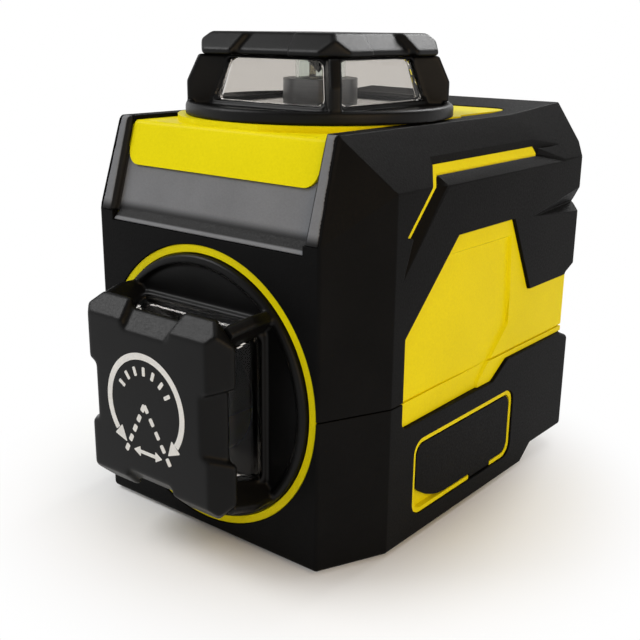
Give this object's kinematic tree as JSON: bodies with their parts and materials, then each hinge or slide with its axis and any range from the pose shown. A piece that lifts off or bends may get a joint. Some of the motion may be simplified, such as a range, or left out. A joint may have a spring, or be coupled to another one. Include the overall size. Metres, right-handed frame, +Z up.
{
  "type": "multi-line laser level",
  "caption": "Self-levelling laser level: armoured case with a windowed turret on its top and its front, cone mirrors on a gimballed pendulum, and a tripod thread in its base.",
  "frame": {"origin": "mouth of the tripod thread, at table level, under the axis of the top turret", "axes": "+Z up, -Y towards the front turret, +X towards the side with the flap"},
  "size_m": [0.082, 0.1247, 0.1143],
  "materials": {
    "yellow_abs": "satin",
    "black_elastomer": "matte",
    "grey_trim": "matte",
    "black_nylon": "satin",
    "clear_acrylic": "gloss",
    "optical_glass": "gloss",
    "cone_mirror": "polished",
    "machined_aluminium": "satin",
    "cast_aluminium": "matte",
    "brass": "satin",
    "steel": "satin",
    "gasket_rubber": "matte",
    "circuit_board": "satin",
    "switch_plastic": "satin",
    "keypad_film": "satin",
    "knob_plastic": "satin",
    "button_rubber": "matte"
  },
  "bodies": {
    "case": {"upper_case": "yellow_abs", "lower_case": "yellow_abs", "upper_armor": "black_elastomer", "lower_armor": "black_elastomer", "slope_trim": "grey_trim", "top_turret_frame": "black_nylon", "top_turret_cap": "black_nylon", "top_turret_window": "clear_acrylic", "top_turret_gasket": "gasket_rubber", "top_turret_screws": "steel", "front_turret_frame": "black_nylon", "front_turret_cap": "black_nylon", "front_turret_window": "clear_acrylic", "front_turret_gasket": "gasket_rubber", "front_turret_screws": "steel", "chassis": "cast_aluminium", "chassis_screws": "steel", "chassis_bearings": "steel", "damper_magnets": "steel", "battery_pack": "switch_plastic", "battery_contacts": "steel", "charge_socket": "steel", "main_board": "circuit_board", "board_screws": "steel", "key_board": "circuit_board", "key_switches": "switch_plastic", "keypad_panel": "keypad_film", "tripod_insert": "brass", "foot_pads": "gasket_rubber", "case_screws": "steel"},
    "gimbal": {"gimbal_ring": "cast_aluminium", "gimbal_pins": "steel", "gimbal_bearings": "steel"},
    "pendulum": {"pendulum": "cast_aluminium", "counterweight": "brass", "balance_screws": "steel", "damper_plate": "brass", "pendulum_pins": "steel", "vertical_laser": "machined_aluminium", "vertical_lens": "optical_glass", "vertical_tube": "optical_glass", "vertical_cone": "cone_mirror", "forward_laser": "machined_aluminium", "forward_lens": "optical_glass", "forward_tube": "optical_glass", "forward_cone": "cone_mirror"},
    "lock_slider": {"lock_slider": "knob_plastic"},
    "lock_plunger": {"lock_plunger": "switch_plastic"},
    "flap": {"port_flap": "black_elastomer"},
    "power_key": {"button_power": "button_rubber"},
    "horizontal_key": {"button_horizontal": "button_rubber"},
    "vertical_key": {"button_vertical": "button_rubber"}
  },
  "joints": [
    {"name": "gimbal_tilt", "type": "hinge", "parent": "case", "child": "gimbal", "pos_m": [0, 0, 0.056], "axis": [1, 0, 0], "range_deg": [-3.5, 3.5]},
    {"name": "pendulum_tilt", "type": "hinge", "parent": "gimbal", "child": "pendulum", "pos_m": [0, 0, 0.056], "axis": [0, 1, 0], "range_deg": [-3.5, 3.5]},
    {"name": "lock_slide", "type": "slide", "parent": "case", "child": "lock_slider", "axis": [0, -1, 0], "range_m": [0, 0.009]},
    {"name": "plunger_slide", "type": "slide", "parent": "case", "child": "lock_plunger", "axis": [1, 0, 0], "range_m": [0, 0.00225]},
    {"name": "flap_hinge", "type": "hinge", "parent": "case", "child": "flap", "pos_m": [0.04015, 0.0169, 0.00655], "axis": [0, 1, 0], "range_deg": [0, 95]},
    {"name": "power_press", "type": "slide", "parent": "case", "child": "power_key", "axis": [0, -1, 0], "range_m": [0, 0.0006], "stiffness_N_per_m": 1500},
    {"name": "horizontal_press", "type": "slide", "parent": "case", "child": "horizontal_key", "axis": [0, -1, 0], "range_m": [0, 0.0006], "stiffness_N_per_m": 1500},
    {"name": "vertical_press", "type": "slide", "parent": "case", "child": "vertical_key", "axis": [0, -1, 0], "range_m": [0, 0.0006], "stiffness_N_per_m": 1500}
  ],
  "couplings": [
    {"joint": "plunger_slide", "follows": "lock_slide", "ratio": 0.25}
  ]
}
